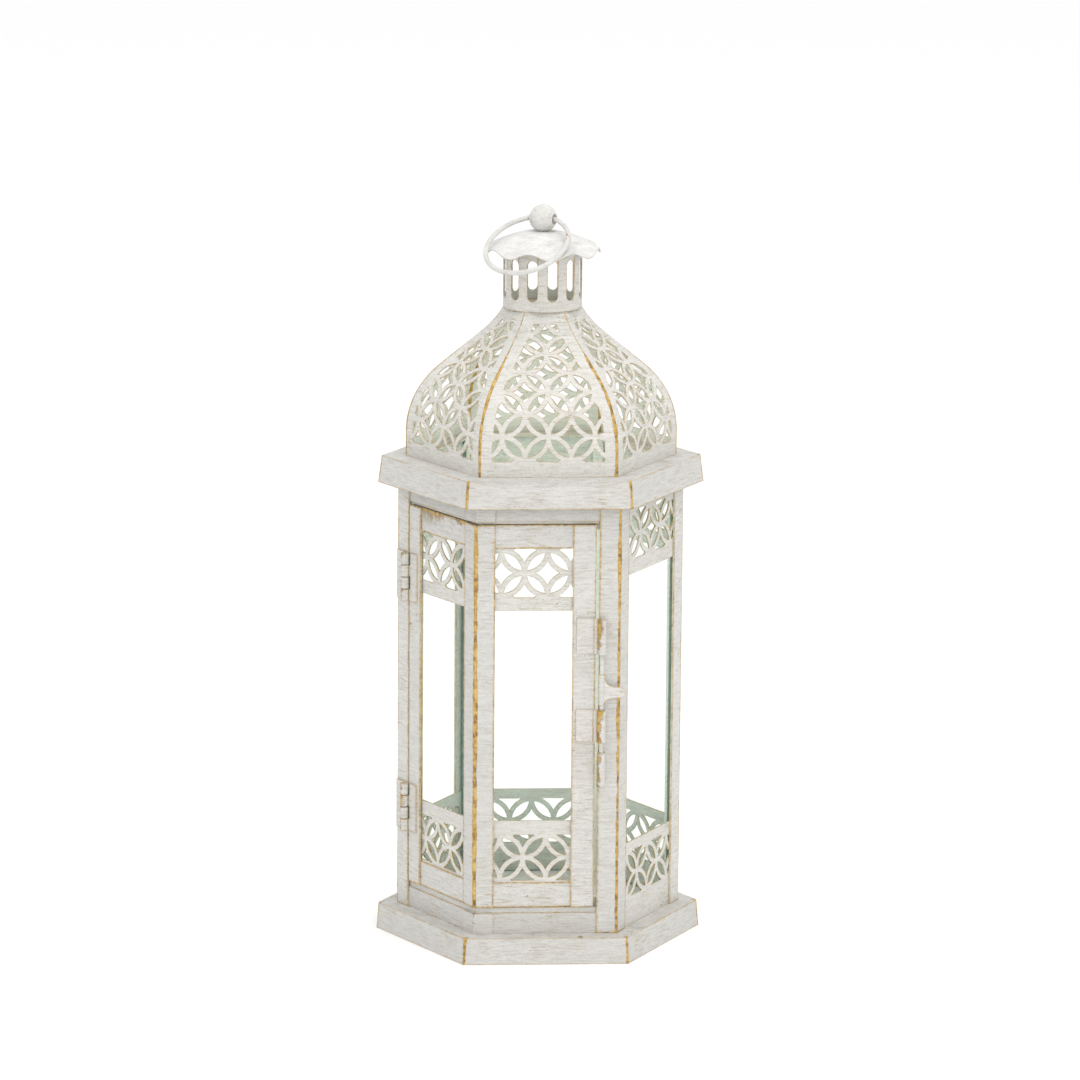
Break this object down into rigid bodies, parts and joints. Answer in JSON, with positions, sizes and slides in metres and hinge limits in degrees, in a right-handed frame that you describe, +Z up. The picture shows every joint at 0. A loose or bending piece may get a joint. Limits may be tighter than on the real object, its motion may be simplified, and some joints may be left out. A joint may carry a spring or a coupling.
{
  "type": "candle lantern",
  "caption": "Six-sided distressed metal candle lantern with pierced panels, glass, a wrap-around hinged door with drop-bolt latch, pierced dome roof, vent cap and hanging ring.",
  "frame": {"origin": "centre of the base rim's underside, on the surface the lantern stands on", "axes": "+Z up; the front face with the latch looks along -Y; the door's hinges are towards -X"},
  "size_m": [0.1354, 0.1172, 0.3056],
  "materials": {
    "whitewashed_metal": "matt whitewash brushed over gold-coloured metal, worn at the edges",
    "glass": "clear",
    "worn_hardware": "whitewash rubbed back to brass"
  },
  "bodies": {
    "lantern": {"base_tray": "whitewashed_metal", "roof_tray": "whitewashed_metal", "hinge_post": "whitewashed_metal", "post_back_left": "whitewashed_metal", "post_back_right": "whitewashed_metal", "post_right": "whitewashed_metal", "latch_post": "whitewashed_metal", "hinge_glazing_strip": "whitewashed_metal", "glazing_strip_back_left": "whitewashed_metal", "glazing_strip_back_right": "whitewashed_metal", "glazing_strip_right": "whitewashed_metal", "latch_glazing_strip": "whitewashed_metal", "frame_sill": "whitewashed_metal", "frame_head": "whitewashed_metal", "door_stop_lower": "whitewashed_metal", "door_stop_upper": "whitewashed_metal", "lower_panel_right": "whitewashed_metal", "upper_panel_right": "whitewashed_metal", "glass_right": "glass", "lower_panel_back_right": "whitewashed_metal", "upper_panel_back_right": "whitewashed_metal", "glass_back_right": "glass", "lower_panel_back": "whitewashed_metal", "upper_panel_back": "whitewashed_metal", "glass_back": "glass", "lower_panel_back_left": "whitewashed_metal", "upper_panel_back_left": "whitewashed_metal", "glass_back_left": "glass", "hinge_leaf_post_lower": "whitewashed_metal", "hinge_leaf_post_upper": "whitewashed_metal", "hinge_pin_lower": "worn_hardware", "hinge_pin_upper": "worn_hardware", "latch_keeper": "worn_hardware", "dome_gore_front": "whitewashed_metal", "dome_gore_left": "whitewashed_metal", "dome_gore_right": "whitewashed_metal", "dome_gore_back_right": "whitewashed_metal", "dome_gore_back": "whitewashed_metal", "dome_gore_back_left": "whitewashed_metal", "vent_neck": "whitewashed_metal", "vent_cap": "whitewashed_metal", "finial_bead": "worn_hardware"},
    "door": {"door_corner_post": "whitewashed_metal", "door_latch_stile": "whitewashed_metal", "door_hinge_stile": "whitewashed_metal", "door_rail_lower": "whitewashed_metal", "door_rail_upper": "whitewashed_metal", "door_panel_lower_front": "whitewashed_metal", "door_panel_upper_front": "whitewashed_metal", "door_panel_lower_left": "whitewashed_metal", "door_panel_upper_left": "whitewashed_metal", "door_glass_front": "glass", "door_glass_left": "glass", "door_glazing_strip": "whitewashed_metal", "hinge_leaf_door_lower": "whitewashed_metal", "hinge_leaf_door_upper": "whitewashed_metal", "latch_guide_upper": "whitewashed_metal", "latch_guide_lower": "whitewashed_metal"},
    "bolt": {"latch_bolt": "worn_hardware"},
    "ring": {"hanging_ring": "worn_hardware"}
  },
  "joints": [
    {"name": "door_swing", "type": "hinge", "parent": "lantern", "child": "door", "pos_m": [-0.05651, -0.00832, 0.1], "axis": [0, 0, -1], "range_deg": [0, 120]},
    {"name": "bolt_lift", "type": "slide", "parent": "door", "child": "bolt", "axis": [0, 0, 1], "range_m": [0, 0.0082]},
    {"name": "ring_swing", "type": "hinge", "parent": "lantern", "child": "ring", "pos_m": [0, 0, 0.29995], "axis": [-0.8536, 0.521, 0], "range_deg": [0, 238]}
  ]
}
